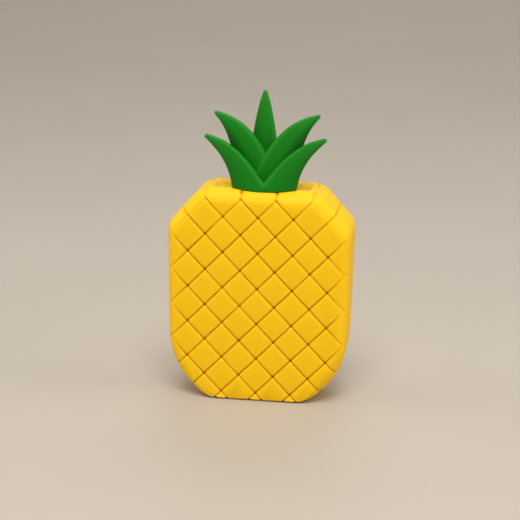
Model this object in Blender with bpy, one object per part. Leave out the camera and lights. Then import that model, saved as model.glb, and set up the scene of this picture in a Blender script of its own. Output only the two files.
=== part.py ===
"""Stylised pineapple ornament.

A tiled yellow block, standing on edge, carries a green crown of five leaves. Both are mouldings.
The block's whole surface is cut into diamond tiles by fine V grooves. The crown's foot bridges a
shallow recess in the top of the block, and a tenon under it stands in a socket there.

Frame: +Z up, the front faces -Y, and the origin is the middle of the flat base.
Lengths below are in millimetres and are turned into metres once, when a mesh is finished.
"""
import math

import bmesh
import bpy
from mathutils import Matrix, Vector

MM = 0.001
CREASE = 32.0           # edges sharper than this many degrees stay creases

# Diamond grid of the front and back faces
TILE_W = 15.0           # width of one diamond, corner to corner
TILE_H = 15.55          # height of one diamond
GRID_Z = 42.5           # height of the grid's middle above the base
BORDER_X = 2.5          # the grid's side border, in tile widths from the middle
BORDER_Z = 3.0          # the grid's top border, in tile heights from the middle
BORDER_CORNER = 4.5     # the grid's sloping border: x plus z in tiles
OPEN_Z = -1.0           # below this height, in tiles, the diagonals run on over the edges
ON_BORDER = 0.02        # slack, in tiles, for points on the grid's border
WELL_INSIDE = -0.1      # and for crossings that carry a dimple

# Block
DEPTH = 31.0
FRONT = -DEPTH / 2
TOP_Z = 92.6
BEVEL_IN = 4.8          # how far the rounded front edge comes in from the outline
BEVEL_BACK = 6.0        # how far it goes back from the front face
BEVEL_POWER = 1.05      # 1 gives an oval edge, 2 a straight chamfer
TOP_WIDER = 0.25        # the rounded edge is wider by up to this share where the outline faces up
TOP_GAIN = 1.25         # how soon it grows so, by the upward part of the outline's normal
BASE_NARROWER = 0.85    # and narrower by this share under the block
BASE_POWER = 4          # how soon it narrows, by the downward part
EDGE = DEPTH / 2 - BEVEL_BACK   # from the middle of the depth to the rounded edge
# Corners of the outline on the right, from the base up: x, z, rounding radius
CORNERS = (
    (23.55, 0.0, 14.7),
    (38.5, 15.9, 32.4),
    (39.4, 76.7, 9.8),
    (24.9, TOP_Z, 9.8),
)
ARC_STEP = 11.0         # degrees between points on a rounded corner
BEVEL_ANGLES = (90.0, 68.0, 46.0, 24.0)

# Grooves between the tiles
GROOVE_HALF = 0.6
GROOVE_DEPTH = 0.6
RIM_SHARE = 0.6         # depth of the groove between the face tiles and the tiles round the side
DIMPLE_DEPTH = 1.0      # at each crossing of two grooves
SIDE_SHARE = 0.2        # the grooves grow faint towards the grid's side border
SIDE_FADE = 0.5         # over this many tile widths
CHAMFER_SHARES = {1: 0.0, -1: 0.35}     # and along its sloping border, right and left
BASE_FADE = 3.0         # grooves round the side fade out over this height above the base
BASE_CLEAR = 0.3        # and end at this height
NEAR_EDGE = 6.0         # a border crossing this near the outline sends a groove over the edge
CLOSEST = 0.2           # least distance between two points of the outline
CUTTER_OVER = 6.0       # how far a cutter stands above the surface that it cuts

# Recess and socket in the block's top
RECESS = (42.0, 12.0, 1.3)
SOCKET = (12.6, 6.6, 9.0)
RECESS_Y = -1.2         # middle of both, from front to back
RECESS_CORNER = 1.5
RECESS_DRAFT = 0.9      # how far its rear wall leans back
FIT_GAP = 0.3

# Crown
CROWN_X = 1.55          # the crown stands a little to the right of the block's middle
FOOT_Z = TOP_Z + FIT_GAP
FOOT_HALF_X = 13.5
FOOT_FRONT = FRONT + 3.3
FOOT_SIDE = FRONT + 9.2        # the foot's sides end here, and its back is half an oval
FOOT_BACK = FRONT + 22.2
FOOT_ROUND = 2.3        # how far the front corners of the foot go back
FOOT_FLAT = 0.55        # share of its half width that is not rounded
FOOT_HEIGHT = 1.6
FOOT_STEPS = 14
TENON_WIDTH = 18.0      # of the part that stands in the recess
WRAP = 0.010            # how the leaves curve round the crown, seen from above
WRAP_REACH = 20.0
FRONT_LEAF_Y = FRONT + 5.65     # middle of each leaf's thickness at the crown's middle
MIDDLE_LEAF_Y = FRONT + 10.35
TALL_LEAF_Y = FRONT + 16.6
TALL_LEAF_X = -1.5
MIDDLE_LEAF_LEAD = 0.3          # the right middle leaf passes in front of the left one
LEAF_ROOT = 5.4                 # thickness of a leaf
LEAF_TIP = 2.5
# Edges of the right-hand leaves, root to tip: x from the crown's middle, height above the base
FRONT_LEAF_UPPER = (
    (-3.4, 93.4), (0.0, 95.9), (5.3, 102.5), (11.0, 108.2), (17.6, 112.6), (24.3, 114.95))
FRONT_LEAF_OUTER = (
    (13.9, 93.4), (14.45, 96.3), (16.1, 101.2), (19.2, 106.6), (22.8, 110.7), (25.5, 113.4))
MIDDLE_LEAF_UPPER = (
    (-5.0, 93.6), (-3.9, 101.0), (-0.7, 106.9), (4.5, 114.1), (10.0, 119.3), (16.0, 122.6), (21.3, 124.2))
MIDDLE_LEAF_OUTER = (
    (8.6, 93.6), (11.6, 99.4), (14.2, 105.3), (15.7, 110.8), (17.3, 115.2), (19.4, 119.1), (22.2, 122.7))
TALL_LEAF = ((7.0, 93.6), (6.0, 105.2), (5.0, 113.8), (3.8, 121.2), (2.3, 128.0), (0.8, 133.3))
LEAF_STATIONS = 13
LEAF_RING = 12
UPPER_SQUARENESS = 0.5  # of a leaf's section above its middle: 1 is oval, 0 square
LOWER_SQUARENESS = 0.95
ROOT_LIFT = 0.2         # from the foot's underside to the leaves' root ends


def material(name, colour, roughness):
    """Plain moulded material."""
    m = bpy.data.materials.new(name)
    m.use_nodes = True
    shader = m.node_tree.nodes["Principled BSDF"]
    shader.inputs["Base Color"].default_value = (*colour, 1.0)
    shader.inputs["Roughness"].default_value = roughness
    shader.inputs["Metallic"].default_value = 0.0
    m.diffuse_color = (*colour, 1.0)
    return m


def new_object(name, bm, mat):
    """Finish a mesh: millimetres to metres, outward faces, one object."""
    bmesh.ops.transform(bm, matrix=Matrix.Scale(MM, 4), verts=bm.verts)
    bmesh.ops.recalc_face_normals(bm, faces=bm.faces)
    mesh = bpy.data.meshes.new(name)
    bm.to_mesh(mesh)
    bm.free()
    shade(mesh)
    ob = bpy.data.objects.new(name, mesh)
    bpy.context.scene.collection.objects.link(ob)
    if mat:
        mesh.materials.append(mat)
    return ob


def shade(mesh):
    """Smooth shading, with the creases kept."""
    mesh.shade_smooth()
    mesh.set_sharp_from_angle(angle=math.radians(CREASE))


# The block's outline

def unit(angle):
    return Vector((math.cos(angle), math.sin(angle)))


def outline_arcs():
    """The outline's rounded corners, in order: centre, radius, first and last normal angle."""
    corners = list(CORNERS) + [(-x, z, r) for x, z, r in reversed(CORNERS)]
    arcs = []
    for i, (x, z, r) in enumerate(corners):
        here = Vector((x, z))
        before = Vector(corners[i - 1][:2])
        after = Vector(corners[(i + 1) % len(corners)][:2])
        run_in = (here - before).normalized()
        run_out = (after - here).normalized()
        half = (-run_in).angle(run_out) / 2
        centre = here + (run_out - run_in).normalized() * (r / math.sin(half))
        first = math.atan2(-run_in.x, run_in.y)
        arcs.append((centre, r, first, first + run_in.angle(run_out)))
    return arcs


def outline_points():
    """The outline's points with their outward normals, in order round the block.

    Where a groove leaves the grid over the edge there are three: its line and its two sides.
    """
    arcs = outline_arcs()
    shifts = (-GROOVE_HALF, 0, GROOVE_HALF)
    stations = []
    for i, (centre, r, first, last) in enumerate(arcs):
        turn = last - first
        steps = max(2, round(turn / math.radians(ARC_STEP)))
        shares = [k / steps for k in range(steps + 1)]
        end = unit(last)
        p0 = centre + end * r
        next_centre, next_r = arcs[(i + 1) % len(arcs)][:2]
        run = next_centre + end * next_r - p0
        along = run.normalized()
        for v, _ in border_crossings():
            rel = v - centre
            angle = math.atan2(rel.y, rel.x)
            angle += 2 * math.pi * round((first - angle) / (2 * math.pi))
            if rel.length > r - NEAR_EDGE:
                shares += [(angle + shift / r - first) / turn for shift in shifts]
            if abs((v - p0).dot(end)) < NEAR_EDGE:
                for shift in shifts:
                    t = ((v - p0).dot(along) + shift) / run.length
                    if 0 < t < 1:
                        stations.append((2 * i + 1 + t, p0 + run * t, end))
        for share in shares:
            if 0 <= share <= 1:
                normal = unit(first + turn * share)
                stations.append((2 * i + share, centre + normal * r, normal))
    stations.sort(key=lambda s: s[0])
    points = []
    for _, point, normal in stations:
        if not points or (point - points[-1][0]).length > CLOSEST:
            points.append((point, normal))
    return points


# The diamond grid

def grid_point(gx, gz):
    return Vector((gx * TILE_W, GRID_Z + gz * TILE_H))


def border_crossings():
    """Crossings on the grid's border, where one groove leaves over the edge, and how strongly."""
    marks = [(0.5, 3.0, 1.0), (1.5, 3.0, 0.7), (2.0, 2.5, 1.0)]
    marks += [(BORDER_X, z, SIDE_SHARE) for z in (2.0, 1.0, 0.0)]
    return [(grid_point(side * x, z), share) for x, z, share in marks for side in (1, -1)]


def slope_normal(side):
    """Normal of the diagonals that fall to one side."""
    return Vector((side * TILE_H / TILE_W, 1.0)).normalized()


def diagonals():
    """Every diagonal groove: a point on it, its normal, and its share of the full depth."""
    count = round(BORDER_CORNER + 0.5)
    lines = []
    for side in (1, -1):
        for k in range(-count, count):
            share = CHAMFER_SHARES[side] if k == count - 1 else 1.0
            lines.append((grid_point(side * (k + 0.5), 0.0), slope_normal(side), share))
    return lines


def in_grid(x, z, slack=0.0):
    """Whether a point of a face lies where the diagonals run; slack is in tiles."""
    gx, gz = abs(x) / TILE_W, (z - GRID_Z) / TILE_H
    if gz < OPEN_Z:
        return slack >= 0 or gx < BORDER_X + slack
    return gx < BORDER_X + slack and gz < BORDER_Z + slack and gx + gz < BORDER_CORNER + slack


def cut(bm, faces, point, normal, offsets=(0,)):
    """Cut some faces by planes that stand on lines of the front view; return the pieces."""
    for off in offsets:
        p = point + normal * off
        edges = {e for f in faces for e in f.edges}
        verts = {v for f in faces for v in f.verts}
        result = bmesh.ops.bisect_plane(
            bm, geom=list(verts) + list(edges) + faces, dist=0.01,
            plane_co=(p.x, 0, p.y), plane_no=(normal.x, 0, normal.y))
        pieces = {g for g in result["geom"] if isinstance(g, bmesh.types.BMFace)}
        faces = list(pieces | {f for f in faces if f.is_valid})
    return faces


def body_blank():
    """The smooth block, with the edge loops that the grooves need."""
    bm = bmesh.new()
    points = outline_points()
    outs = [BEVEL_BACK * math.sin(math.radians(a)) ** BEVEL_POWER for a in BEVEL_ANGLES]
    levels = [(bevel_drop(EDGE + o), -EDGE - o) for o in outs + [GROOVE_HALF, 0.0, -GROOVE_HALF]]
    levels += [(inset, -y) for inset, y in reversed(levels)]
    loops = []
    for inset, y in levels:
        loop = [p - n * widened(inset, n) for p, n in points]
        loops.append([bm.verts.new((p.x, y, p.y)) for p in loop])
    bm.faces.new(loops[0])
    bm.faces.new(reversed(loops[-1]))
    for a, b in zip(loops, loops[1:]):
        for i in range(len(points)):
            j = (i + 1) % len(points)
            bm.faces.new((a[i], b[i], b[j], a[j]))
    bmesh.ops.recalc_face_normals(bm, faces=bm.faces)
    return bm


def bevel_drop(y):
    """How far the surface has come in from the outline, by its distance from the middle of the depth."""
    over = max(0.0, abs(y) - EDGE) / BEVEL_BACK
    sine = min(1.0, over) ** (1 / BEVEL_POWER)
    return BEVEL_IN * (1 - math.sqrt(1 - sine * sine) ** BEVEL_POWER)


def widened(inset, n):
    """The rounded edge is wider where the outline faces up, and narrow where it faces down."""
    if n.y < 0:
        return inset * (1 - BASE_NARROWER * abs(n.y) ** BASE_POWER)
    return inset * (1 + TOP_WIDER * min(1.0, TOP_GAIN * n.y))


def top_drop(y):
    """The same for the block's top."""
    return widened(bevel_drop(y), Vector((0, 1)))


def on_face_side(y):
    """Front and back faces with their rounded edges, but not the tiles round the side."""
    return abs(y) > EDGE


def cut_tiles(bm):
    """Lay the grooves' lines into the blank."""
    groove = (-GROOVE_HALF, 0, GROOVE_HALF)
    faces = [f for f in bm.faces if on_face_side(f.calc_center_median().y)]
    faces = cut(bm, faces, grid_point(0, BORDER_Z), Vector((0, 1)))
    for side in (1, -1):
        faces = cut(bm, faces, grid_point(side * BORDER_X, 0), Vector((1, 0)))
        faces = cut(bm, faces, grid_point(side * BORDER_CORNER, 0), slope_normal(side), groove)
    inner = []
    for f in bm.faces:
        c = f.calc_center_median()
        low = BASE_CLEAR / 2 < c.z < GRID_Z + OPEN_Z * TILE_H
        if in_grid(c.x, c.z) and (low or on_face_side(c.y)):
            inner.append(f)
    for point, normal, _ in diagonals():
        inner = cut(bm, inner, point, normal, groove)


def nearby_grooves(p, outward):
    """Grooves that matter at a point of the front view, nearest first: distance and share of depth."""
    if in_grid(p.x, p.y, ON_BORDER):
        inside = min(1.0, max(0.0, (BORDER_X - abs(p.x) / TILE_W) / SIDE_FADE))
        fade = SIDE_SHARE + (1 - SIDE_SHARE) * inside
        return sorted((abs((p - q).dot(n)), share * fade) for q, n, share in diagonals())
    near = [(p - q, share) for q, share in border_crossings() if (p - q).length < NEAR_EDGE]
    return sorted((abs(rel.x * outward.y - rel.y * outward.x), share) for rel, share in near)


def groove_depth(v):
    """How deep the surface is cut at one point."""
    x, y, z = v.co
    round_side = abs(y) < EDGE - GROOVE_HALF / 2
    near = nearby_grooves(Vector((x, z)), Vector((v.normal.x, v.normal.z)).normalized())
    depth = max([0.0] + [GROOVE_DEPTH * share * (1 - d / GROOVE_HALF) for d, share in near[:2]])
    if len(near) > 1 and near[1][0] < GROOVE_HALF / 4 and in_grid(x, z, WELL_INSIDE) and not round_side:
        depth = DIMPLE_DEPTH
    above = z - BASE_CLEAR
    if abs(abs(y) - EDGE) < GROOVE_HALF / 2 and above > 0:
        depth = max(depth, RIM_SHARE * GROOVE_DEPTH)
    if round_side:
        depth *= min(1.0, max(0.0, above / BASE_FADE))
    return depth


def sink_grooves(bm):
    """Push the grooves' lines in, along the smooth surface's normals."""
    bm.normal_update()
    moves = [(v, v.normal * groove_depth(v)) for v in bm.verts]
    for v, move in moves:
        v.co -= move


def box_cutter(name, size, top_z, draft=0.0):
    """A hidden box that cuts down into the block's top; its rear wall may lean back."""
    bm = bmesh.new()
    height = size[2] + CUTTER_OVER
    bmesh.ops.create_cube(bm, size=1.0)
    bmesh.ops.scale(bm, vec=(size[0], size[1], height), verts=bm.verts)
    bmesh.ops.translate(bm, vec=(0, RECESS_Y, top_z + CUTTER_OVER - height / 2), verts=bm.verts)
    upright = [e for e in bm.edges if abs(e.verts[0].co.z - e.verts[1].co.z) > height / 2]
    bmesh.ops.bevel(bm, geom=upright, offset=RECESS_CORNER, segments=3, profile=0.5, affect="EDGES")
    for v in bm.verts:
        if v.co.y > RECESS_Y:
            v.co.y += draft * (v.co.z - top_z) / size[2]
    ob = new_object(name, bm, None)
    ob.hide_render = True
    ob.display_type = "WIRE"
    return ob


def make_body(mat):
    """The yellow block."""
    bm = body_blank()
    cut_tiles(bm)
    sink_grooves(bm)
    bmesh.ops.triangulate(bm, faces=bm.faces, quad_method="BEAUTY", ngon_method="BEAUTY")
    body = new_object("body", bm, mat)
    cutters = (
        box_cutter("cut_recess", RECESS, TOP_Z, RECESS_DRAFT),
        box_cutter("cut_socket", SOCKET, TOP_Z - RECESS[2]),
    )
    for cutter in cutters:
        mod = body.modifiers.new(cutter.name, "BOOLEAN")
        mod.operation = "DIFFERENCE"
        mod.solver = "EXACT"
        mod.object = cutter
    return body


# The crown

def smooth_curve(points, t):
    """A point on a smooth curve through a few points of the front view, t from 0 to 1."""
    last = len(points) - 1
    s = min(t, 0.999999) * last
    i = int(s)
    u = s - i
    p0 = Vector(points[max(i - 1, 0)])
    p1, p2 = Vector(points[i]), Vector(points[i + 1])
    p3 = Vector(points[min(i + 2, last)])
    return 0.5 * (2 * p1 + (p2 - p0) * u + (2 * p0 - 5 * p1 + 4 * p2 - p3) * u ** 2
                  + (3 * p1 - p0 - 3 * p2 + p3) * u ** 3)


def squared(c, power):
    return math.copysign(abs(c) ** power, c)


def wrapped(x):
    """How far back the crown's curve goes at a distance from its middle."""
    return WRAP * x * x / (1 + (x / WRAP_REACH) ** 2)


def leaf(upper, lower, y_mid, side, shift=0.0, wrap=1.0, square=UPPER_SQUARENESS):
    """One thick leaf between two edges given in the front view, root to tip.

    Its section is squarer above its middle than below, and its root ends over the block.
    """
    bm = bmesh.new()
    rings = []
    for k in range(LEAF_STATIONS + 1):
        t = k / LEAF_STATIONS
        high, low = smooth_curve(upper, t), smooth_curve(lower, t)
        middle, half = (high + low) / 2, (high - low) / 2
        thick = (LEAF_ROOT + (LEAF_TIP - LEAF_ROOT) * t) / 2
        ring = []
        for j in range(LEAF_RING):
            a = 2 * math.pi * j / LEAF_RING
            power = square if math.cos(a) > 0 else LOWER_SQUARENESS
            p = middle + half * squared(math.cos(a), power)
            y = y_mid - thick * squared(math.sin(a), power) + wrap * wrapped(p.x)
            z = p.y if k else FOOT_Z + ROOT_LIFT - top_drop(y)
            ring.append(bm.verts.new((CROWN_X + shift + side * p.x, y, z)))
        rings.append(ring)
    for a, b in zip(rings, rings[1:]):
        for j in range(LEAF_RING):
            i = (j + 1) % LEAF_RING
            bm.faces.new((a[j], a[i], b[i], b[j]))
    bm.faces.new(reversed(rings[0]))
    bm.faces.new(rings[-1])
    bmesh.ops.triangulate(bm, faces=bm.faces)
    return new_object("leaf", bm, None)


def crown_leaves():
    """Front pair, middle pair and the tall leaf behind, as separate solids."""
    tall_left = [(-x, z) for x, z in TALL_LEAF]
    leaves = []
    for side in (1, -1):
        y_mid = MIDDLE_LEAF_Y - MIDDLE_LEAF_LEAD * side
        leaves.append(leaf(FRONT_LEAF_UPPER, FRONT_LEAF_OUTER, FRONT_LEAF_Y, side))
        leaves.append(leaf(MIDDLE_LEAF_UPPER, MIDDLE_LEAF_OUTER, y_mid, side))
    leaves.append(leaf(TALL_LEAF, tall_left, TALL_LEAF_Y, 1, TALL_LEAF_X, 0.0, LOWER_SQUARENESS))
    return leaves


def foot():
    """The base that the leaves rise from; its front lip follows the block's rounded edge."""
    bm = bmesh.new()
    plan = []
    for j in range(FOOT_STEPS + 1):
        x = FOOT_HALF_X * (2 * j / FOOT_STEPS - 1)
        corner = max(0.0, abs(x) / FOOT_HALF_X - FOOT_FLAT) / (1 - FOOT_FLAT)
        plan.append((x, FOOT_FRONT + wrapped(x) + FOOT_ROUND * corner ** 2))
    for j in range(FOOT_STEPS + 1):
        x, y = unit(math.pi * j / FOOT_STEPS)
        plan.append((x * FOOT_HALF_X, FOOT_SIDE + (FOOT_BACK - FOOT_SIDE) * y))
    loops = []
    loops.append([(x, max(y, -EDGE), FOOT_Z) for x, y in plan])
    loops.append([(x, y, FOOT_Z - top_drop(y)) for x, y in plan])
    loops.append([(x, y, FOOT_Z + FOOT_HEIGHT) for x, y in plan])
    rings = [[bm.verts.new((CROWN_X + x, y, z)) for x, y, z in loop] for loop in loops]
    for a, b in zip(rings, rings[1:]):
        for j in range(len(plan)):
            i = (j + 1) % len(plan)
            bm.faces.new((a[j], a[i], b[i], b[j]))
    bm.faces.new(reversed(rings[0]))
    bm.faces.new(rings[-1])
    bmesh.ops.remove_doubles(bm, verts=bm.verts, dist=0.01)
    bmesh.ops.triangulate(bm, faces=bm.faces)
    return new_object("foot", bm, None)


def block(width, depth, z_low, z_high):
    """A plain box under the crown, round the socket's middle."""
    bm = bmesh.new()
    bmesh.ops.create_cube(bm, size=1.0)
    bmesh.ops.scale(bm, vec=(width, depth, z_high - z_low), verts=bm.verts)
    bmesh.ops.translate(bm, vec=(0, RECESS_Y, (z_low + z_high) / 2), verts=bm.verts)
    upright = [e for e in bm.edges if abs(e.verts[0].co.z - e.verts[1].co.z) > 0.1]
    bmesh.ops.bevel(bm, geom=upright, offset=RECESS_CORNER, segments=2, profile=0.5, affect="EDGES")
    return new_object("block", bm, None)


def make_crown(mat):
    """The green crown: foot, leaves and tenon, joined into one solid."""
    recess_floor = TOP_Z - RECESS[2]
    pieces = crown_leaves()
    tenon_depth = RECESS[1] - 2 * (FIT_GAP + RECESS_DRAFT)
    pieces.append(block(TENON_WIDTH, tenon_depth, recess_floor + FIT_GAP, FOOT_Z + 1.0))
    pieces.append(block(SOCKET[0] - 2 * FIT_GAP, SOCKET[1] - 2 * FIT_GAP,
                        recess_floor - SOCKET[2] + FIT_GAP, FOOT_Z + 1.0))
    group = bpy.data.collections.new("crown_pieces")
    bpy.context.scene.collection.children.link(group)
    for ob in pieces:
        bpy.context.scene.collection.objects.unlink(ob)
        group.objects.link(ob)
    crown = foot()
    crown.name = "crown"
    mod = crown.modifiers.new("join", "BOOLEAN")
    mod.operation = "UNION"
    mod.solver = "EXACT"
    mod.operand_type = "COLLECTION"
    mod.collection = group
    joined = bpy.data.meshes.new_from_object(crown.evaluated_get(bpy.context.evaluated_depsgraph_get()))
    crown.modifiers.clear()
    crown.data = joined
    crown.data.materials.clear()
    crown.data.materials.append(mat)
    shade(crown.data)
    for ob in pieces:
        bpy.data.objects.remove(ob)
    bpy.data.collections.remove(group)
    return crown


def main():
    for ob in list(bpy.data.objects):
        bpy.data.objects.remove(ob)
    make_body(material("body_yellow", (0.87, 0.48, 0.01), 0.45))
    make_crown(material("crown_green", (0.012, 0.17, 0.015), 0.42))


main()
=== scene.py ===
"""Looks for the stylised pineapple ornament: a tiled yellow block under a crown of five green leaves.

Both are satin mouldings. The camera stands where the photograph's camera stood.
Shapes are worked out in millimetres and turned into metres when a mesh is finished.
"""
import math

import bmesh
import bpy
from mathutils import Matrix, Vector


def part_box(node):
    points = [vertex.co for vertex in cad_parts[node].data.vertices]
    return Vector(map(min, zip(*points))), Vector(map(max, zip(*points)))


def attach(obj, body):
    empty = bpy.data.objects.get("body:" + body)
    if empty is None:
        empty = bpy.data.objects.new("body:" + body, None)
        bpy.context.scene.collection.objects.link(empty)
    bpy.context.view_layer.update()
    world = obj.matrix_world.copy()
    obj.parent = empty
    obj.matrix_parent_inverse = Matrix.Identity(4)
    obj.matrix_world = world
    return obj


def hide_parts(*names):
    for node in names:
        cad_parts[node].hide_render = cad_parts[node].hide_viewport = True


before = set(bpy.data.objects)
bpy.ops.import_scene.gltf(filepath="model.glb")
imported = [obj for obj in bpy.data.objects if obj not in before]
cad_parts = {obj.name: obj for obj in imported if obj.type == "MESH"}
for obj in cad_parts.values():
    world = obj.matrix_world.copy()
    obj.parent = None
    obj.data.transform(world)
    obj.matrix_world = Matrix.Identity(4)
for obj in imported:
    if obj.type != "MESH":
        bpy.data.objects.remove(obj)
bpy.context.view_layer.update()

MM = 0.001
CREASE = 40.0           # edges sharper than this many degrees stay creases

# Camera, in metres: place, view and up directions, and the focal length in pixels
PICTURE = 520           # the picture's width and height in pixels
CAMERA_AT = (0.08546, -0.63120, 0.22875)
CAMERA_VIEW = (-0.13100, 0.95746, -0.25713)
CAMERA_UP = (-0.05164, 0.25243, 0.96624)
FOCAL_PIXELS = 1520
SENSOR = 36.0           # its width, in millimetres

# Block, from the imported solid's box
BODY_LOW, BODY_HIGH = (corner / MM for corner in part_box("body"))
DEPTH = BODY_HIGH.y - BODY_LOW.y
FRONT = -DEPTH / 2
TOP_Z = BODY_HIGH.z
BEVEL_IN = 4.8          # how far the rounded front edge comes in from the outline
BEVEL_BACK = 6.0        # how far it goes back from the front face
BEVEL_POWER = 1.05      # 1 gives an oval edge, 2 a straight chamfer
TOP_WIDER = 0.25        # the rounded edge is wider by up to this share where the outline faces up
TOP_GAIN = 1.25         # how soon it grows so, by the upward part of the outline's normal
BASE_NARROWER = 0.85    # and narrower by this share under the block
BASE_POWER = 4          # how soon it narrows, by the downward part
EDGE = DEPTH / 2 - BEVEL_BACK   # from the middle of the depth to the rounded edge
# Corners of the outline on the right, from the base up: x, z, rounding radius
CORNERS = (
    (23.55, 0.0, 14.7),
    (38.5, 15.9, 32.4),
    (39.4, 76.7, 9.8),
    (24.9, TOP_Z, 9.8),
)
ARC_STEP = 4.0          # degrees between points on a rounded corner
BEVEL_STEPS = 12        # loops over the rounded edge, of which the grooves' own lines replace the last
CLOSEST = 0.06          # least distance between two points of the outline
CUT_NEAR = 0.1          # faces this near a cutting line are cut too
CUT_MERGE = 0.005       # and vertices this near a cut move onto it

# Diamond grid of the front and back faces
TILE_W = 15.0
TILE_H = 15.55
GRID_Z = 42.5           # height of the grid's middle above the base
BORDER_X = 2.5          # the grid's side border, in tile widths from the middle
BORDER_Z = 3.0          # the grid's top border, in tile heights from the middle
BORDER_CORNER = 4.5     # the grid's sloping border: x plus z in tiles
OPEN_Z = -1.0           # below this height, in tiles, the diagonals run on over the edges
ON_BORDER = 0.02        # slack, in tiles, for points on the grid's border
WELL_INSIDE = -0.1      # and for crossings that carry a dimple

# Grooves between the tiles: a narrow V, with a wide shoulder below it and a small one above
GROOVE_HALF = 0.45
GROOVE_DEPTH = 0.42
UNDER_REACH = 1.9       # the shoulder on the upper edges of each tile
UNDER_DEPTH = 0.6
OVER_REACH = 0.8        # the shoulder on its lower edges
OVER_DEPTH = 0.08
SHOULDER_POWER = 2      # 1 would give flat shoulders, 2 gives round ones
DIMPLE_REACH = 0.8      # round dimple at each crossing of two grooves
DIMPLE_DEPTH = 0.45     # below the groove
RIM_DIMPLE = 1.3        # reach of the dimples where a groove crosses the rim groove
FOOT_DIMPLE = 2.7       # under the crown's foot the dimple lies this far in front of the rim groove
RIM_SHARE = 0.7         # strength of the rim groove, between the face tiles and those round the side
RIM_SLOPING = 1.5       # and along the sloping top corners
GROOVE_SHADE = 0.5       # how much of the painted shade's deeper colour the grooves take
SIDE_SHARE = 0.2        # strength of the grooves at the grid's side border
SIDE_FADE = 0.5         # they grow faint towards it over this many tile widths
SIDE_MARK = 0.75 * SIDE_SHARE   # strength of those that run on over the side's edge
CHAMFER_SHARES = {1: 0.0, -1: 0.35}     # strength along the grid's sloping border, right and left
RISING_SHARE = 0.55     # the grooves that rise to the right grow this faint in the top row of tiles
MARK_FADE = 2.0         # a groove takes on its strength over the edge within this distance
# Where the mesh has lines beside a groove: on a face, and round the side
GROOVE_LINES = (
    -UNDER_REACH, -1.4, -1.0, -0.7, -GROOVE_HALF, -0.2, 0.0, 0.2, GROOVE_HALF, OVER_REACH)
EDGE_LINES = (-RIM_DIMPLE, -0.8, -GROOVE_HALF, -0.2, 0.0, 0.2, GROOVE_HALF, 0.8, RIM_DIMPLE)
BASE_FADE = 3.0         # grooves round the side fade out over this height above the base
BASE_CLEAR = 0.3        # and end at this height
NEAR_EDGE = 6.0         # a border crossing this near the outline sends a groove over the edge
EDGE_SLACK = 0.1        # what lies this far inside the rounded edge counts as round the side
# Crossings on the right half of the grid's border, where one groove leaves over the edge: x and z in
# tiles, its strength, and how far in front of the rim groove it has a dimple
BORDER_MARKS = (
    (0.5, BORDER_Z, 1.0, FOOT_DIMPLE),
    (1.5, BORDER_Z, 0.7, 0.0),
    (2.0, 2.5, 1.6, 0.0),
    (BORDER_X, 2.0, SIDE_MARK, None),
    (BORDER_X, 1.0, SIDE_MARK, None),
    (BORDER_X, 0.0, SIDE_MARK, None),
)

# Recess and socket in the block's top
RECESS = (42.0, 12.0, 1.3)      # width, depth from front to back, and how deep it is sunk
SOCKET = (12.6, 6.6, 9.0)
RECESS_Y = -1.2         # middle of both, from front to back
RECESS_CORNER = 1.5     # rounding of their corners and the tenon's, seen from above
CORNER_STEPS = 5        # steps of each such corner
RECESS_LIP = 0.7        # rounding of the recess's upper edge
SOCKET_LIP = RECESS_LIP / 2
RECESS_FILLET = 0.5     # rounding where their walls meet the floor
RECESS_BENDS = 6        # steps of a lip or fillet
RECESS_DRAFT = 0.9      # how far the recess's rear wall leans
REAR_SOFTENED = 1.6     # and how much further it runs out towards the floor, as a soft ramp
ENDS_SOFTENED = 2.2     # how far the recess's ends run out in the same way
CUTTER_OVER = 2.0       # how far a cutter stands above the surface that it cuts
FIT_GAP = 0.3           # between the crown and the block

# Crown
CROWN_X = 1.55          # the crown stands a little to the right of the block's middle
FOOT_Z = TOP_Z + FIT_GAP
FOOT_HALF_X = 13.5
FOOT_FRONT = FRONT + 3.3
FOOT_SIDE = FRONT + 9.2        # the foot's sides end here, and its back is half an oval
FOOT_BACK = FRONT + 22.2
FOOT_ROUND = 2.3        # how far the front corners of the foot go back
FOOT_FLAT = 0.55        # share of its half width that is not rounded
FOOT_HEIGHT = 1.6
FOOT_STEPS = 40
TENON_WIDTH = 18.0      # of its wide upper step, which stands in the recess
TENON_RISE = 1.0        # how far it reaches up into the foot
WRAP = 0.010            # how the leaves curve back round the crown, seen from above
WRAP_REACH = 20.0       # the curve grows flatter beyond this distance from the middle
FRONT_LEAF_Y = FRONT + 5.65     # middle of each leaf's thickness at the crown's middle
MIDDLE_LEAF_Y = FRONT + 10.35
TALL_LEAF_Y = FRONT + 16.6
TALL_LEAF_X = -1.5
MIDDLE_LEAF_LEAD = 0.3          # the right middle leaf passes in front of the left one
LEAF_ROOT = 5.4                 # thickness of a leaf
LEAF_TIP = 2.5
# Edges of the leaves, root to tip: x from the crown's middle, height above the base. They are those of
# the right-hand leaves and of the tall one's right half; the left ones mirror them.
FRONT_LEAF_UPPER = (
    (-3.4, 93.4), (0.0, 95.9), (5.3, 102.5), (11.0, 108.2), (17.6, 112.6), (24.3, 114.95))
FRONT_LEAF_OUTER = (
    (13.9, 93.4), (14.45, 96.3), (16.1, 101.2), (19.2, 106.6), (22.8, 110.7), (25.5, 113.4))
MIDDLE_LEAF_UPPER = (
    (-5.0, 93.6), (-3.9, 101.0), (-0.7, 106.9), (4.5, 114.1), (10.0, 119.3), (16.0, 122.6),
    (21.3, 124.2))
MIDDLE_LEAF_OUTER = (
    (8.6, 93.6), (11.6, 99.4), (14.2, 105.3), (15.7, 110.8), (17.3, 115.2), (19.4, 119.1),
    (22.2, 122.7))
TALL_LEAF = ((7.0, 93.6), (6.0, 105.2), (5.0, 113.8), (3.8, 121.2), (2.3, 128.0), (0.9, 132.4))
LEAF_STATIONS = 44      # rings along a leaf
LEAF_RING = 40          # points of a ring
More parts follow.
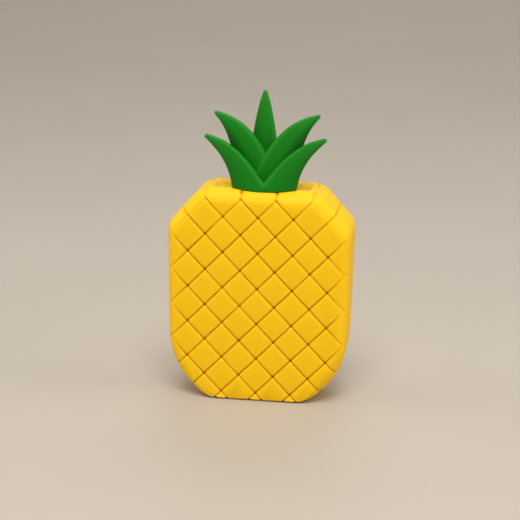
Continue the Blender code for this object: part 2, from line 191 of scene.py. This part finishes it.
TIP_STEPS = 5           # rings that round a leaf's tip off
TIP_OPEN = 0.5          # the last of them stops this share of a step short of a point
TIP_RUN = 0.97          # a leaf's direction at its tip is read from here on, as a share of its length
CURVE_END = 0.999999    # keeps the end of a curve in its last span
UPPER_SQUARENESS = 0.5  # of a leaf's section above its middle: 1 is oval, 0 square
LOWER_SQUARENESS = 0.95
ROOT_LIFT = 0.2         # from the foot's underside to the leaves' root ends
HIGHLIGHT_CREST = 0.82            # where the painted highlight along the crest runs, from a leaf's middle to its upper edge
TIP_HIGHLIGHT = 2           # how late the painted highlight widens over the tip: a power of the share of the leaf's length
SHADE_REACH = 1.05      # how far a leaf's painted shade comes in from its lower edge, in half widths
TIP_SHADE = 3           # how late that painted shade ends towards the tip, as a power too
FULL_SHADE = 1.0        # how much of it the middle leaves take
FRONT_SHADE = 0.35      # the front ones
TALL_SHADE = 0.4        # and the tall one

# Finishes: colours, and how strongly a mark of the mesh brings in its own colour of painted shade or
# painted highlight
YELLOW = (0.90, 0.535, 0.004)
YELLOW_DEEPER = (0.87, 0.505, 0.003)
YELLOW_PAINTED_SHADE = (
    # painted shade: a deeper orange in the grooves, darker still in the dimples at their crossings
    ("groove", (0.75, 0.33, 0.002), 1.0),
    ("dimple", (0.50, 0.10, 0.0005), 0.85),
)
YELLOW_ROUGHNESS = 0.52
YELLOW_GLOSS = 0.18
GREEN = (0.004, 0.180, 0.004)
GREEN_DEEPER = (0.003, 0.155, 0.003)
GREEN_PAINTED_LIGHT_AND_SHADE = (
    # painted highlight along the leaves' crests and towards their tips
    ("rim", (0.020, 0.27, 0.024), 0.55),
    # painted shade towards the leaves' lower edges
    ("shade", (0.001, 0.048, 0.001), 0.95),
)
GREEN_ROUGHNESS = 0.5
GREEN_GLOSS = 0.16
NOISE_LOW, NOISE_HIGH = 0.3, 0.7        # nearly all of a noise lies between these
# Surface noise: features to the metre, detail and, where it tints, how much of the deeper colour
MOTTLING = (55.0, 4.0, 0.5)
SPECKLE = (900.0, 2.0, 0.16)
SHEEN = (260.0, 3.0)
SHEEN_BELOW, SHEEN_ABOVE = 0.05, 0.07   # how far the roughness varies
# Bumps: features to the metre, detail, strength, height in metres
PEEL = (1400.0, 1.0, 0.22, 0.00005)
GRAIN = (7000.0, 1.0, 0.12, 0.00002)
# Sockets of the node that mixes colours
MIX_FIRST, MIX_SECOND, MIX_RESULT = 6, 7, 2

# Studio, in metres and watts
FLOOR_RADIUS = 6.0
FLOOR_SIDES = 64
FLOOR_COLOUR = (0.45, 0.40, 0.34)
FLOOR_DEEPER = 0.96     # share of that colour in its faint clouds
FLOOR_CLOUDS = (6.0, 2.0)       # features to the metre, and detail
FLOOR_ROUGHNESS = 0.6
ORNAMENT = (0.0, 0.0, 0.06)
BACKGROUND = (0.0, 1.9, 0.0)
NEUTRAL = (1.0, 0.99, 0.97)
WARM = (1.0, 0.96, 0.90)
# Softboxes: name, place, what they face, size, power, colour
SOFTBOXES = (
    ("key", (0.08, -0.60, 1.06), ORNAMENT, 0.6, 11.8, NEUTRAL),
    ("fill_left", (-1.10, -0.15, 0.60), ORNAMENT, 0.8, 4.6, NEUTRAL),
    ("fill_right", (1.15, -0.05, 0.60), ORNAMENT, 0.8, 5.4, NEUTRAL),
    ("back", (0.0, 2.3, 1.9), BACKGROUND, 1.8, 18.0, WARM),
)
SKY_COLOUR = (1.0, 0.95, 0.88)
SKY_STRENGTH = 0.42


# Shared by all pieces

def unit(angle):
    """The direction at an angle, as a vector of length 1."""
    return Vector((math.cos(angle), math.sin(angle)))


def hollow(distance, reach, power=1.0):
    """Share of the full depth or strength at a distance from a line."""
    return max(0.0, 1 - abs(distance) / reach) ** power


def add_object(name, data):
    """A new object in the scene."""
    ob = bpy.data.objects.new(name, data)
    bpy.context.scene.collection.objects.link(ob)
    return ob


def take_mesh(name, bm):
    """Turn a draft into a mesh, and free the draft."""
    mesh = bpy.data.meshes.new(name)
    bm.to_mesh(mesh)
    bm.free()
    return mesh


def skin(bm, rings):
    """Faces from each ring of vertices to the next, and one over each end."""
    for a, b in zip(rings, rings[1:]):
        for j in range(len(a)):
            i = (j + 1) % len(a)
            bm.faces.new((a[j], a[i], b[i], b[j]))
    bm.faces.new(reversed(rings[0]))
    bm.faces.new(rings[-1])


def finish_piece(name, bm, mat, node):
    """Millimetres to metres and outward faces; with a node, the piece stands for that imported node."""
    bmesh.ops.transform(bm, matrix=Matrix.Scale(MM, 4), verts=bm.verts)
    bmesh.ops.recalc_face_normals(bm, faces=bm.faces)
    mesh = take_mesh(name, bm)
    mesh.shade_smooth()
    mesh.set_sharp_from_angle(angle=math.radians(CREASE))
    piece = add_object(name, mesh)
    mesh.materials.append(mat)
    if node:
        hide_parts(node)
        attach(piece, "root")
    return piece


# The block's outline

def outline_arcs():
    """The outline's rounded corners, in order: centre, radius, first and last normal angle."""
    corners = list(CORNERS) + [(-x, z, r) for x, z, r in reversed(CORNERS)]
    arcs = []
    for i, (x, z, r) in enumerate(corners):
        here = Vector((x, z))
        before = Vector(corners[i - 1][:2])
        after = Vector(corners[(i + 1) % len(corners)][:2])
        run_in = (here - before).normalized()
        run_out = (after - here).normalized()
        half = (-run_in).angle(run_out) / 2
        centre = here + (run_out - run_in).normalized() * (r / math.sin(half))
        first = math.atan2(-run_in.x, run_in.y)
        arcs.append((centre, r, first, first + run_in.angle(run_out)))
    return arcs


def outline_points():
    """The outline's points with their outward normals, in order round the block.

    Where a groove leaves the grid over the edge, there is one for each of its lines. Each station
    starts with its place in the order: even numbers are arcs, odd ones the straight runs after them.
    """
    arcs = outline_arcs()
    stations = []
    for i, (centre, r, first, last) in enumerate(arcs):
        turn = last - first
        steps = max(2, round(turn / math.radians(ARC_STEP)))
        shares = [k / steps for k in range(steps + 1)]
        end = unit(last)
        p0 = centre + end * r
        next_centre, next_r = arcs[(i + 1) % len(arcs)][:2]
        run = next_centre + end * next_r - p0
        along = run.normalized()
        for v, _, _ in border_crossings():
            rel = v - centre
            angle = math.atan2(rel.y, rel.x)
            angle += 2 * math.pi * round((first - angle) / (2 * math.pi))
            if rel.length > r - NEAR_EDGE:
                shares += [(angle + shift / r - first) / turn for shift in EDGE_LINES]
            if abs((v - p0).dot(end)) < NEAR_EDGE:
                for shift in EDGE_LINES:
                    t = ((v - p0).dot(along) + shift) / run.length
                    if 0 < t < 1:
                        stations.append((2 * i + 1 + t, p0 + run * t, end))
        for share in shares:
            if 0 <= share <= 1:
                normal = unit(first + turn * share)
                stations.append((2 * i + share, centre + normal * r, normal))
    stations.sort(key=lambda s: s[0])
    points = []
    for _, point, normal in stations:
        if not points or (point - points[-1][0]).length > CLOSEST:
            points.append((point, normal))
    return points


# The diamond grid

def grid_point(gx, gz):
    """A point of the front view, from tiles."""
    return Vector((gx * TILE_W, GRID_Z + gz * TILE_H))


def border_crossings():
    """The crossings of both halves as points, each with its strength and its dimple's distance."""
    return [(grid_point(side * x, z), share, ahead)
            for x, z, share, ahead in BORDER_MARKS for side in (1, -1)]


def slope_normal(side):
    """Normal of the diagonals that fall to one side."""
    return Vector((side * TILE_H / TILE_W, 1.0)).normalized()


def diagonals():
    """Every diagonal groove: a point on it, its normal, its strength, and that in the top row."""
    count = round(BORDER_CORNER + 0.5)
    lines = []
    for side in (1, -1):
        for k in range(-count, count):
            share = CHAMFER_SHARES[side] if k == count - 1 else 1.0
            top = 1.0 if side > 0 else RISING_SHARE
            lines.append((grid_point(side * (k + 0.5), 0.0), slope_normal(side), share, top))
    return lines


def in_grid(x, z, slack=0.0):
    """Whether a point of a face lies where the diagonals run; slack is in tiles."""
    gx, gz = abs(x) / TILE_W, (z - GRID_Z) / TILE_H
    if gz < OPEN_Z:
        return slack >= 0 or gx < BORDER_X + slack
    return gx < BORDER_X + slack and gz < BORDER_Z + slack and gx + gz < BORDER_CORNER + slack


def cut(bm, faces, point, normal, offsets=(0.0,)):
    """Cut faces near a line of the front view by planes along it; return all the faces again."""
    near, far = [], []
    for f in faces:
        heights = [(v.co.x - point.x) * normal.x + (v.co.z - point.y) * normal.y for v in f.verts]
        touched = min(heights) < max(offsets) + CUT_NEAR and max(heights) > min(offsets) - CUT_NEAR
        (near if touched else far).append(f)
    for off in offsets:
        p = point + normal * off
        edges = {e for f in near for e in f.edges}
        verts = {v for f in near for v in f.verts}
        result = bmesh.ops.bisect_plane(
            bm, geom=list(verts) + list(edges) + near, dist=CUT_MERGE,
            plane_co=(p.x, 0, p.y), plane_no=(normal.x, 0, normal.y))
        pieces = {g for g in result["geom"] if isinstance(g, bmesh.types.BMFace)}
        near = list(pieces | {f for f in near if f.is_valid})
    return near + far


def body_blank():
    """The smooth block, with the edge loops that the grooves need."""
    bm = bmesh.new()
    points = outline_points()
    angles = [math.radians(90.0 * k / BEVEL_STEPS) for k in range(BEVEL_STEPS, 1, -1)]
    outs = [BEVEL_BACK * math.sin(a) ** BEVEL_POWER for a in angles]
    outs += [o for o in EDGE_LINES if o > -BEVEL_BACK]
    levels = [(bevel_drop(EDGE + o), -EDGE - o) for o in sorted(set(outs), reverse=True)]
    levels += [(inset, -y) for inset, y in reversed(levels)]
    loops = []
    for inset, y in levels:
        loop = [p - n * widened(inset, n) for p, n in points]
        loops.append([bm.verts.new((p.x, y, p.y)) for p in loop])
    bm.faces.new(loops[0])
    bm.faces.new(reversed(loops[-1]))
    for a, b in zip(loops, loops[1:]):
        for i in range(len(points)):
            j = (i + 1) % len(points)
            bm.faces.new((a[i], b[i], b[j], a[j]))
    bmesh.ops.recalc_face_normals(bm, faces=bm.faces)
    return bm


def bevel_drop(y):
    """How far the surface has come in from the outline, by how far it is from the depth's middle."""
    over = max(0.0, abs(y) - EDGE) / BEVEL_BACK
    sine = min(1.0, over) ** (1 / BEVEL_POWER)
    return BEVEL_IN * (1 - math.sqrt(1 - sine * sine) ** BEVEL_POWER)


def widened(inset, n):
    """The rounded edge is wider where the outline faces up, and narrow where it faces down."""
    if n.y < 0:
        return inset * (1 - BASE_NARROWER * abs(n.y) ** BASE_POWER)
    return inset * (1 + TOP_WIDER * min(1.0, TOP_GAIN * n.y))


def top_drop(y):
    """The same for the block's top."""
    return widened(bevel_drop(y), Vector((0, 1)))


def on_face_side(y):
    """Front and back faces with their rounded edges, but not the tiles round the side."""
    return abs(y) > EDGE


def cut_tiles(bm):
    """Lay the grooves' lines into the blank."""
    faces = [f for f in bm.faces if on_face_side(f.calc_center_median().y)]
    faces = cut(bm, faces, grid_point(0, BORDER_Z), Vector((0, 1)))
    for side in (1, -1):
        faces = cut(bm, faces, grid_point(side * BORDER_X, 0), Vector((1, 0)))
        corner = grid_point(side * BORDER_CORNER, 0)
        faces = cut(bm, faces, corner, slope_normal(side), GROOVE_LINES)
    inner = []
    for f in bm.faces:
        c = f.calc_center_median()
        low = BASE_CLEAR / 2 < c.z < GRID_Z + OPEN_Z * TILE_H
        if in_grid(c.x, c.z) and (low or on_face_side(c.y)):
            inner.append(f)
    for point, normal, _, _ in diagonals():
        inner = cut(bm, inner, point, normal, GROOVE_LINES)


def shoulder(s):
    """Depth of the rounding beside a groove at a signed distance above its line."""
    if s > 0:
        return OVER_DEPTH * hollow(s, OVER_REACH, SHOULDER_POWER)
    return UNDER_DEPTH * hollow(s, UNDER_REACH, SHOULDER_POWER)


def face_share(x):
    """How strong the grooves are at a distance from the face's middle."""
    inside = min(1.0, max(0.0, (BORDER_X - abs(x) / TILE_W) / SIDE_FADE))
    return SIDE_SHARE + (1 - SIDE_SHARE) * inside


def face_depths(p, lines):
    """Share of a groove, depth of its shoulders and share of a dimple at a point of the grid.

    The two nearest diagonals make the groove and its dimple, the four nearest the shoulders.
    """
    row = min(1.0, max(0.0, (p.y - GRID_Z) / TILE_H - BORDER_Z + 1))
    found = [((p - q).dot(n), share * (1 - row * (1 - top))) for q, n, share, top in lines]
    found.sort(key=lambda item: abs(item[0]))
    share = face_share(p.x)
    v_cuts = [hollow(s, GROOVE_HALF) * part for s, part in found[:2]]
    sides = sum(shoulder(s) * part for s, part in found[:4]) * share
    dimple = 0.0
    if in_grid(p.x, p.y, WELL_INSIDE):
        dimple = hollow(math.hypot(found[0][0], found[1][0]), DIMPLE_REACH) * share
    return (1 - (1 - v_cuts[0]) * (1 - v_cuts[1])) * share, sides, dimple


def edge_shares(p, from_rim, outward, crossings):
    """Shares of a groove that leaves the grid over the edge, and of its dimple on the rim."""
    groove = dimple = 0.0
    for q, share, ahead in crossings:
        rel = p - q
        if rel.length < NEAR_EDGE:
            along = min(1.0, rel.length / MARK_FADE)
            strength = face_share(q.x) * (1 - along) + share * along
            aside = rel.x * outward.y - rel.y * outward.x
            groove = max(groove, strength * hollow(aside, GROOVE_HALF))
            if ahead is not None:
                away = math.hypot(aside, from_rim - ahead)
                dimple = max(dimple, min(1.0, share) * hollow(away, RIM_DIMPLE))
    return groove, dimple


def sink_grooves(bm):
    """Push the grooves in along the smooth surface's normals, and mark them for their painted shade."""
    lines, crossings = diagonals(), border_crossings()
    groove_shade_mark = bm.verts.layers.float.new("groove")
    dimple_shade_mark = bm.verts.layers.float.new("dimple")
    bm.normal_update()
    moves = []
    for v in bm.verts:
        x, y, z = v.co
        p = Vector((x, z))
        sides = dimple = 0.0
        if in_grid(x, z, ON_BORDER):
            groove, sides, dimple = face_depths(p, lines)
            if abs(y) < EDGE - EDGE_SLACK:
                dimple = 0.0
        else:
            outward = Vector((v.normal.x, v.normal.z)).normalized()
            groove, dimple = edge_shares(p, abs(y) - EDGE, outward, crossings)
        fade = min(1.0, max(0.0, (z - BASE_CLEAR) / BASE_FADE))
        if abs(y) < EDGE - EDGE_SLACK:
            groove, sides = groove * fade, sides * fade
        sloping = max(0.0, 2 * abs(v.normal.x) * v.normal.z)
        rim = hollow(abs(y) - EDGE, GROOVE_HALF) * fade
        groove = max(groove, rim * (RIM_SHARE + (RIM_SLOPING - RIM_SHARE) * sloping))
        moves.append((v, v.normal * (groove * GROOVE_DEPTH + sides + dimple * DIMPLE_DEPTH)))
        # painted shade in the grooves and the dimples
        v[groove_shade_mark] = groove * GROOVE_SHADE
        v[dimple_shade_mark] = dimple
    for v, move in moves:
        v.co -= move


def rounded_box(width, depth, corner):
    """Plan of a box with rounded corners, round the recess's middle."""
    plan = []
    for i, (sx, sy) in enumerate(((1, 1), (-1, 1), (-1, -1), (1, -1))):
        for k in range(CORNER_STEPS + 1):
            p = unit(math.pi / 2 * (i + k / CORNER_STEPS)) * corner
            x = sx * (width / 2 - corner) + p.x
            plan.append((x, RECESS_Y + sy * (depth / 2 - corner) + p.y))
    return plan


def stack(bm, plans):
    """A closed solid from plans of equal length, one over the other; each is (points, z)."""
    skin(bm, [[bm.verts.new((x, y, z)) for x, y in plan] for plan, z in plans])


def recess_cutter(name, size, top_z, lip, mat, ends=0.0, rear=0.0):
    """What is cut out under a height, with rounded edges; its ends and rear wall may lean."""
    bm = bmesh.new()
    wide, deep, sunk = size
    floor = top_z - sunk
    bends = [math.pi / 2 * k / RECESS_BENDS for k in range(RECESS_BENDS + 1)]
    profile = [(RECESS_FILLET * (math.sin(a) - 1), floor + RECESS_FILLET * (1 - math.cos(a)))
               for a in bends]
    profile += [(lip * (1 - math.cos(a)), top_z - lip + lip * math.sin(a)) for a in bends]
    plans = []
    for out, z in profile:
        share = (top_z - z) / sunk
        plan = []
        for x, y in rounded_box(wide + 2 * out, deep + 2 * out, RECESS_CORNER + out):
            lean = rear * share if y > RECESS_Y else 0.0
            plan.append((x - math.copysign(ends * share, x), y - lean))
        plans.append((plan, z))
    plans.append((plans[-1][0], top_z + CUTTER_OVER))
    stack(bm, plans)
    return finish_piece(name, bm, mat, None)


def apply_difference(piece, cutters):
    """Cut the cutters out of the piece for good and remove them."""
    for cutter in cutters:
        mod = piece.modifiers.new(cutter.name, "BOOLEAN")
        mod.operation = "DIFFERENCE"
        mod.solver = "EXACT"
        mod.object = cutter
    depsgraph = bpy.context.evaluated_depsgraph_get()
    done = bpy.data.meshes.new_from_object(piece.evaluated_get(depsgraph))
    piece.modifiers.clear()
    piece.data = done
    for cutter in cutters:
        bpy.data.objects.remove(cutter)


def make_body(mat):
    """The yellow block."""
    bm = body_blank()
    cut_tiles(bm)
    sink_grooves(bm)
    body = finish_piece("block", bm, mat, "body")
    rear = RECESS_DRAFT + REAR_SOFTENED
    apply_difference(body, [
        recess_cutter("recess", RECESS, TOP_Z, RECESS_LIP, mat, ENDS_SOFTENED, rear),
        recess_cutter("socket", SOCKET, TOP_Z - RECESS[2], SOCKET_LIP, mat),
    ])


# The crown

def smooth_curve(points, t):
    """A point on a smooth curve through a few points of the front view, t from 0 to 1."""
    last = len(points) - 1
    s = min(t, CURVE_END) * last
    i = int(s)
    u = s - i
    p0 = Vector(points[max(i - 1, 0)])
    p1, p2 = Vector(points[i]), Vector(points[i + 1])
    p3 = Vector(points[min(i + 2, last)])
    return 0.5 * (2 * p1 + (p2 - p0) * u + (2 * p0 - 5 * p1 + 4 * p2 - p3) * u ** 2
                  + (3 * p1 - p0 - 3 * p2 + p3) * u ** 3)


def squared(c, power):
    """A sine or cosine of a section, made squarer by a power below 1."""
    return math.copysign(abs(c) ** power, c)


def wrapped(x):
    """How far back the crown's curve goes at a distance from its middle."""
    return WRAP * x * x / (1 + (x / WRAP_REACH) ** 2)


def leaf(name, upper, lower, y_mid, side, mat, shade,
         shift=0.0, wrap=1.0, square=UPPER_SQUARENESS):
    """One thick leaf between two edges given in the front view, root to tip, with a rounded tip.

    Its section may be squarer above its middle than below, and its root ends just over the block.
    """
    bm = bmesh.new()
    crest_highlight_mark = bm.verts.layers.float.new("rim")
    shade_mark = bm.verts.layers.float.new("shade")
    rings = []
    tip_run = (smooth_curve(upper, 1) + smooth_curve(lower, 1)
               - smooth_curve(upper, TIP_RUN) - smooth_curve(lower, TIP_RUN)).normalized()
    tip_half = (smooth_curve(upper, 1) - smooth_curve(lower, 1)).length / 2
    for k in range(LEAF_STATIONS + 1 + TIP_STEPS):
        t = min(1.0, k / LEAF_STATIONS)
        turn = max(0, k - LEAF_STATIONS) * math.pi / 2 / (TIP_STEPS + TIP_OPEN)
        high, low = smooth_curve(upper, t), smooth_curve(lower, t)
        middle = (high + low) / 2 + tip_run * tip_half * math.sin(turn)
        half = (high - low) / 2 * math.cos(turn)
        thick = (LEAF_ROOT + (LEAF_TIP - LEAF_ROOT) * t) / 2 * math.cos(turn)
        ring = []
        for j in range(LEAF_RING):
            a = 2 * math.pi * j / LEAF_RING
            power = square if math.cos(a) > 0 else LOWER_SQUARENESS
            across = squared(math.cos(a), power)
            p = middle + half * across
            y = y_mid - thick * squared(math.sin(a), power) + wrap * wrapped(p.x)
            z = p.y if k else FOOT_Z + ROOT_LIFT - top_drop(y)
            v = bm.verts.new((CROWN_X + shift + side * p.x, y, z))
            # painted highlight along the crest and over the tip
            v[crest_highlight_mark] = max(hollow(across - HIGHLIGHT_CREST, 1 - HIGHLIGHT_CREST), t ** TIP_HIGHLIGHT)
            # painted shade towards the lower edge
            v[shade_mark] = shade * hollow(across + 1.0, SHADE_REACH) * (1 - t ** TIP_SHADE)
            ring.append(v)
        rings.append(ring)
    skin(bm, rings)
    finish_piece(name, bm, mat, "crown")


def make_foot(mat):
    """The base that the leaves rise from, and its tenon; the front lip follows the block's edge."""
    bm = bmesh.new()
    plan = []
    for j in range(FOOT_STEPS + 1):
        x = FOOT_HALF_X * (2 * j / FOOT_STEPS - 1)
        corner = max(0.0, abs(x) / FOOT_HALF_X - FOOT_FLAT) / (1 - FOOT_FLAT)
        plan.append((x, FOOT_FRONT + wrapped(x) + FOOT_ROUND * corner ** 2))
    for j in range(1, FOOT_STEPS):
        x, y = unit(math.pi * j / FOOT_STEPS)
        plan.append((x * FOOT_HALF_X, FOOT_SIDE + (FOOT_BACK - FOOT_SIDE) * y))
    rings = []
    for lift in (0.0, FOOT_HEIGHT):
        ring = []
        for x, y in plan:
            z = FOOT_Z + lift if lift else FOOT_Z - top_drop(y)
            ring.append(bm.verts.new((CROWN_X + x, y, z)))
        rings.append(ring)
    skin(bm, rings)
    floor = TOP_Z - RECESS[2]
    tenon_top = FOOT_Z + TENON_RISE
    wide = rounded_box(TENON_WIDTH, RECESS[1] - 2 * (FIT_GAP + RECESS_DRAFT), RECESS_CORNER)
    slim = rounded_box(SOCKET[0] - 2 * FIT_GAP, SOCKET[1] - 2 * FIT_GAP, RECESS_CORNER)
    stack(bm, [(wide, floor + FIT_GAP), (wide, tenon_top)])
    stack(bm, [(slim, floor - SOCKET[2] + FIT_GAP), (slim, tenon_top)])
    finish_piece("crown_foot", bm, mat, "crown")


def make_crown(mat):
    """The green crown: foot, front pair, middle pair and the tall leaf behind."""
    make_foot(mat)
    for side, word in ((1, "right"), (-1, "left")):
        y_mid = MIDDLE_LEAF_Y - MIDDLE_LEAF_LEAD * side
        leaf("leaf_front_" + word, FRONT_LEAF_UPPER, FRONT_LEAF_OUTER, FRONT_LEAF_Y, side, mat,
             FRONT_SHADE)
        leaf("leaf_middle_" + word, MIDDLE_LEAF_UPPER, MIDDLE_LEAF_OUTER, y_mid, side, mat,
             FULL_SHADE)
    tall_left = [(-x, z) for x, z in TALL_LEAF]
    leaf("leaf_tall", TALL_LEAF, tall_left, TALL_LEAF_Y, 1, mat, TALL_SHADE,
         TALL_LEAF_X, 0.0, LOWER_SQUARENESS)


# Materials

def add_node(tree, kind, inputs, **settings):
    """Add a shader node; an input given an output socket is linked, any other is set."""
    node = tree.nodes.new(kind)
    for key, value in settings.items():
        setattr(node, key, value)
    for key, value in inputs.items():
        if isinstance(value, bpy.types.NodeSocket):
            tree.links.new(value, node.inputs[key])
        else:
            node.inputs[key].default_value = value
    return node


def mixed(tree, share, a, b):
    """A colour mixed from two, by a share."""
    node = add_node(tree, "ShaderNodeMix", {"Factor": share}, data_type="RGBA")
    for socket, value in ((node.inputs[MIX_FIRST], a), (node.inputs[MIX_SECOND], b)):
        if isinstance(value, bpy.types.NodeSocket):
            tree.links.new(value, socket)
        else:
            socket.default_value = (*value, 1.0)
    return node.outputs[MIX_RESULT]


def noise(tree, place, per_metre, detail):
    """Soft noise with about this many features to the metre."""
    inputs = {"Vector": place, "Scale": per_metre, "Detail": detail}
    return add_node(tree, "ShaderNodeTexNoise", inputs).outputs["Fac"]


def ranged(tree, value, low, high, start=NOISE_LOW, end=NOISE_HIGH):
    """A value carried from one range to another."""
    inputs = {"Value": value, "From Min": start, "From Max": end, "To Min": low, "To Max": high}
    return add_node(tree, "ShaderNodeMapRange", inputs).outputs["Result"]


def marked(tree, name, share):
    """A mark that the mesh carries, times a share."""
    mark = add_node(tree, "ShaderNodeAttribute", {}, attribute_name=name).outputs["Fac"]
    return ranged(tree, mark, 0.0, share, 0.0, 1.0)


def new_material(name):
    """A material, its nodes, its shader, and the place on the object in metres."""
    mat = bpy.data.materials.new(name)
    mat.use_nodes = True
    tree = mat.node_tree
    place = add_node(tree, "ShaderNodeTexCoord", {}).outputs["Object"]
    return mat, tree, tree.nodes["Principled BSDF"], place


def moulded_plastic(name, colour, deeper, painted_light, rough, gloss):
    """Satin moulded plastic: faint mottling, fine orange peel and uneven sheen.

    Each of the marks that the mesh carries brings in its own colour: painted shade or painted
    highlight.
    """
    mat, tree, shader, place = new_material(name)
    shader.inputs["Specular IOR Level"].default_value = gloss
    tint = colour
    for per_metre, detail, share in (MOTTLING, SPECKLE):
        spots = ranged(tree, noise(tree, place, per_metre, detail), 0.0, share)
        tint = mixed(tree, spots, tint, deeper)
    for mark, painted_colour, share in painted_light:
        # painted shade and painted highlight, from the marks that the mesh carries
        tint = mixed(tree, marked(tree, mark, share), tint, painted_colour)
    tree.links.new(tint, shader.inputs["Base Color"])
    sheen = ranged(tree, noise(tree, place, *SHEEN), rough - SHEEN_BELOW, rough + SHEEN_ABOVE)
    tree.links.new(sheen, shader.inputs["Roughness"])
    bumped = {}
    for per_metre, detail, strength, height in (PEEL, GRAIN):
        bump = add_node(tree, "ShaderNodeBump", {
            "Height": noise(tree, place, per_metre, detail), "Strength": strength,
            "Distance": height, **bumped})
        bumped = {"Normal": bump.outputs["Normal"]}
    tree.links.new(bumped["Normal"], shader.inputs["Normal"])
    return mat


# Studio

def floor_board():
    """Matt board with faint clouds."""
    mat, tree, shader, place = new_material("pale_floor")
    deeper = [c * FLOOR_DEEPER for c in FLOOR_COLOUR]
    clouds = ranged(tree, noise(tree, place, *FLOOR_CLOUDS), 0.0, 1.0)
    tree.links.new(mixed(tree, clouds, FLOOR_COLOUR, deeper), shader.inputs["Base Color"])
    shader.inputs["Roughness"].default_value = FLOOR_ROUGHNESS
    return mat


def make_floor():
    """A wide round floor under the ornament."""
    bm = bmesh.new()
    bmesh.ops.create_circle(bm, cap_ends=True, segments=FLOOR_SIDES, radius=FLOOR_RADIUS)
    mesh = take_mesh("floor", bm)
    mesh.materials.append(floor_board())
    floor = add_object("floor", mesh)


def soft_light(name, place, target, size, watts, colour):
    """A square softbox that faces a point."""
    light = bpy.data.lights.new(name, "AREA")
    light.shape = "SQUARE"
    light.size = size
    light.energy = watts
    light.color = colour
    ob = add_object(name, light)
    ob.location = place
    ob.rotation_mode = "QUATERNION"
    ob.rotation_quaternion = (Vector(target) - Vector(place)).to_track_quat("-Z", "Y")


def make_studio():
    """The floor, the softboxes and an even light from all round."""
    make_floor()
    for name, place, target, size, watts, colour in SOFTBOXES:
        soft_light(name, place, target, size, watts, colour)
    world = bpy.data.worlds.new("studio")
    world.use_nodes = True
    sky = world.node_tree.nodes["Background"]
    sky.inputs["Color"].default_value = (*SKY_COLOUR, 1.0)
    sky.inputs["Strength"].default_value = SKY_STRENGTH
    bpy.context.scene.world = world
    bpy.context.scene.view_settings.view_transform = "Standard"


def make_camera():
    """The camera, turned so that it sees along the view direction."""
    view = Vector(CAMERA_VIEW).normalized()
    up = Vector(CAMERA_UP)
    up = (up - view * up.dot(view)).normalized()
    right = view.cross(up)
    data = bpy.data.cameras.new("camera")
    data.sensor_width = SENSOR
    data.lens = FOCAL_PIXELS / PICTURE * SENSOR
    camera = add_object("camera", data)
    turned = Matrix((right, up, -view)).transposed().to_4x4()
    camera.matrix_world = Matrix.Translation(CAMERA_AT) @ turned
    bpy.context.scene.camera = camera


def main():
    """Camera, ornament and studio."""
    make_camera()
    yellow = moulded_plastic(
        "satin_yellow", YELLOW, YELLOW_DEEPER, YELLOW_PAINTED_SHADE, YELLOW_ROUGHNESS, YELLOW_GLOSS)
    green = moulded_plastic(
        "satin_green", GREEN, GREEN_DEEPER, GREEN_PAINTED_LIGHT_AND_SHADE, GREEN_ROUGHNESS, GREEN_GLOSS)
    make_body(yellow)
    make_crown(green)
    make_studio()


main()
